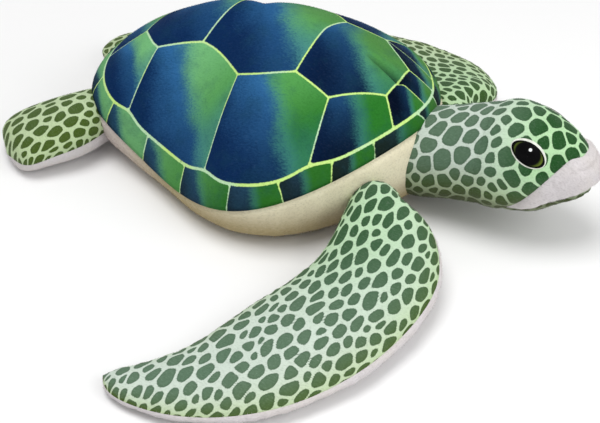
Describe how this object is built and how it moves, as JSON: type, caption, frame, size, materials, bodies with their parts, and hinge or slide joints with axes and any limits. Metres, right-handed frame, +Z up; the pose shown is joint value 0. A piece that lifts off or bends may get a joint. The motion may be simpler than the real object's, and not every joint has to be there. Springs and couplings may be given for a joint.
{
  "type": "plush sea turtle",
  "caption": "Stuffed sea turtle lying flat: patterned domed shell, cream belly, spotted bending neck, turning head and swinging flippers.",
  "frame": {"origin": "on the floor under the middle of the shell, on the belly's flat resting face", "axes": "+X towards the nose, +Y towards the turtle's left, +Z up"},
  "size_m": [0.5109, 0.5453, 0.1409],
  "materials": {
    "shell_print": "short printed pile, navy to green",
    "green_spots": "short printed pile, green spots on pale mint",
    "cream_plush": "short plush",
    "white_plush": "short plush",
    "polyester_filling": "loose fibre",
    "eye_white_thread": "satin stitch",
    "eye_dark_thread": "satin stitch"
  },
  "bodies": {
    "torso": {"shell_cover": "shell_print", "belly_cover": "cream_plush", "body_stuffing": "polyester_filling"},
    "neck": {"neck_cover": "green_spots", "neck_stuffing": "polyester_filling"},
    "head": {"head_left_cover": "green_spots", "head_right_cover": "green_spots", "muzzle_cover": "white_plush", "chin_cover": "green_spots", "head_stuffing": "polyester_filling", "left_eye_patch": "eye_white_thread", "left_pupil": "eye_dark_thread", "right_eye_patch": "eye_white_thread", "right_pupil": "eye_dark_thread"},
    "left_front_flipper": {"left_front_flipper_top": "green_spots", "left_front_flipper_under": "white_plush", "left_front_flipper_stuffing": "polyester_filling"},
    "left_hind_flipper": {"left_hind_flipper_top": "green_spots", "left_hind_flipper_under": "white_plush", "left_hind_flipper_stuffing": "polyester_filling"},
    "right_front_flipper": {"right_front_flipper_top": "green_spots", "right_front_flipper_under": "white_plush", "right_front_flipper_stuffing": "polyester_filling"},
    "right_hind_flipper": {"right_hind_flipper_top": "green_spots", "right_hind_flipper_under": "white_plush", "right_hind_flipper_stuffing": "polyester_filling"}
  },
  "joints": [
    {"name": "neck_nod", "type": "hinge", "parent": "torso", "child": "neck", "pos_m": [0.1592, 0, 0.0425], "axis": [0, -1, 0], "range_deg": [-12, 10], "stiffness_Nm_per_rad": 1.5, "springref_deg": 0.92},
    {"name": "head_turn", "type": "hinge", "parent": "neck", "child": "head", "pos_m": [0.187, 0, 0.056], "axis": [0, 0, 1], "range_deg": [-25, 25], "stiffness_Nm_per_rad": 0.3},
    {"name": "left_front_swing", "type": "hinge", "parent": "torso", "child": "left_front_flipper", "pos_m": [0.14051, 0.07811, 0.034], "axis": [0, 0, -1], "range_deg": [0, 59]},
    {"name": "right_front_swing", "type": "hinge", "parent": "torso", "child": "right_front_flipper", "pos_m": [0.14051, -0.07811, 0.034], "axis": [0, 0, 1], "range_deg": [-49, 10]},
    {"name": "left_hind_lift", "type": "hinge", "parent": "torso", "child": "left_hind_flipper", "pos_m": [-0.13917, 0.05414, 0.025], "axis": [0.5123, 0.8588, 0], "range_deg": [0, 20], "stiffness_Nm_per_rad": 0.3},
    {"name": "right_hind_lift", "type": "hinge", "parent": "torso", "child": "right_hind_flipper", "pos_m": [-0.13917, -0.05414, 0.025], "axis": [-0.5123, 0.8588, 0], "range_deg": [0, 20], "stiffness_Nm_per_rad": 0.3}
  ]
}
